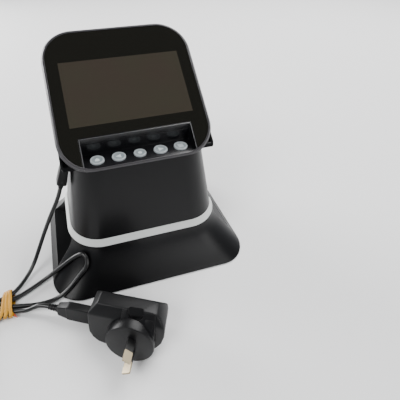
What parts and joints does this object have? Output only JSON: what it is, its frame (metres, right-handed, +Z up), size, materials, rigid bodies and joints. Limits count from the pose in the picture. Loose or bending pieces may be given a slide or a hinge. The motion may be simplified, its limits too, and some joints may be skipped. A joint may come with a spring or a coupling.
{
  "type": "film negative scanner",
  "caption": "Desktop film scanner: flared base with a film slot, tapered neck, tilted glass display head, round buttons on a ledge, and a bundled power lead with wall adapter.",
  "frame": {"origin": "on the floor, under the middle of the scanner without its lead", "axes": "+Z up, +X to the right of someone facing the display, +Y away from them"},
  "size_m": [0.3058, 0.2395, 0.1871],
  "materials": {
    "adapter_black": "fine grain",
    "black_plastic": "satin moulded plastic",
    "button_silver": "silver grey",
    "chip_black": "plain",
    "circuit_board": "solder mask",
    "dark_glass": "polished",
    "diffuser_white": "opal",
    "display_dark": "dark when off",
    "lamp_white": "lamp lens",
    "lead_black": "semi-matte",
    "lens_glass": "polished",
    "pin_brass": "dull",
    "plate_steel": "plated",
    "ribbon_amber": "film",
    "rim_black": "polished",
    "ring_white": "frosted",
    "rubber_black": "matte",
    "screw_steel": "plain",
    "sleeve_black": "plain",
    "switch_black": "plain",
    "tie_yellow": "twisted"
  },
  "bodies": {
    "scanner": {"base_skirt": "black_plastic", "bottom_cover": "black_plastic", "rubber_feet": "rubber_black", "base_screws": "screw_steel", "light_ring": "ring_white", "neck_front_shell": "black_plastic", "neck_rear_shell": "black_plastic", "neck_screws": "screw_steel", "lower_film_guide": "black_plastic", "upper_film_guide": "black_plastic", "lamp_diffuser": "diffuser_white", "lamp_board": "circuit_board", "backlight_lamps": "lamp_white", "optics_tower": "black_plastic", "lens_barrel": "black_plastic", "front_lens": "lens_glass", "rear_lens": "lens_glass", "sensor_board": "circuit_board", "image_sensor": "chip_black", "head_rim": "rim_black", "front_glass": "dark_glass", "button_ledge": "black_plastic", "display_panel": "display_dark", "display_frame": "plate_steel", "display_ribbon": "ribbon_amber", "head_case": "black_plastic", "head_screws": "screw_steel", "main_board": "circuit_board", "board_screws": "screw_steel", "main_chip": "chip_black", "memory_card_socket": "plate_steel", "button_board": "circuit_board", "button_switches": "switch_black", "button_board_screws": "screw_steel", "power_socket": "plate_steel", "power_plug": "lead_black", "power_plug_tip": "plate_steel", "cord_scanner_run": "lead_black", "cord_loop_run": "lead_black", "cord_coil": "lead_black", "cord_plug_run": "lead_black", "cord_tie": "tie_yellow", "usb_plug": "lead_black", "usb_plug_shell": "plate_steel", "adapter_body": "adapter_black", "adapter_face": "adapter_black", "adapter_pin_sleeves": "sleeve_black", "adapter_pins": "pin_brass"},
    "home_button": {"home_button": "button_silver"},
    "left_button": {"left_button": "button_silver"},
    "ok_button": {"ok_button": "button_silver"},
    "right_button": {"right_button": "button_silver"},
    "menu_button": {"menu_button": "button_silver"}
  },
  "joints": [
    {"name": "home_button_press", "type": "slide", "parent": "scanner", "child": "home_button", "axis": [0, 0, -1], "range_m": [0, 0.0006], "stiffness_N_per_m": 1200, "springref_m": -0.0006},
    {"name": "left_button_press", "type": "slide", "parent": "scanner", "child": "left_button", "axis": [0, 0, -1], "range_m": [0, 0.0006], "stiffness_N_per_m": 1200, "springref_m": -0.0006},
    {"name": "ok_button_press", "type": "slide", "parent": "scanner", "child": "ok_button", "axis": [0, 0, -1], "range_m": [0, 0.0006], "stiffness_N_per_m": 1200, "springref_m": -0.0006},
    {"name": "right_button_press", "type": "slide", "parent": "scanner", "child": "right_button", "axis": [0, 0, -1], "range_m": [0, 0.0006], "stiffness_N_per_m": 1200, "springref_m": -0.0006},
    {"name": "menu_button_press", "type": "slide", "parent": "scanner", "child": "menu_button", "axis": [0, 0, -1], "range_m": [0, 0.0006], "stiffness_N_per_m": 1200, "springref_m": -0.0006}
  ]
}
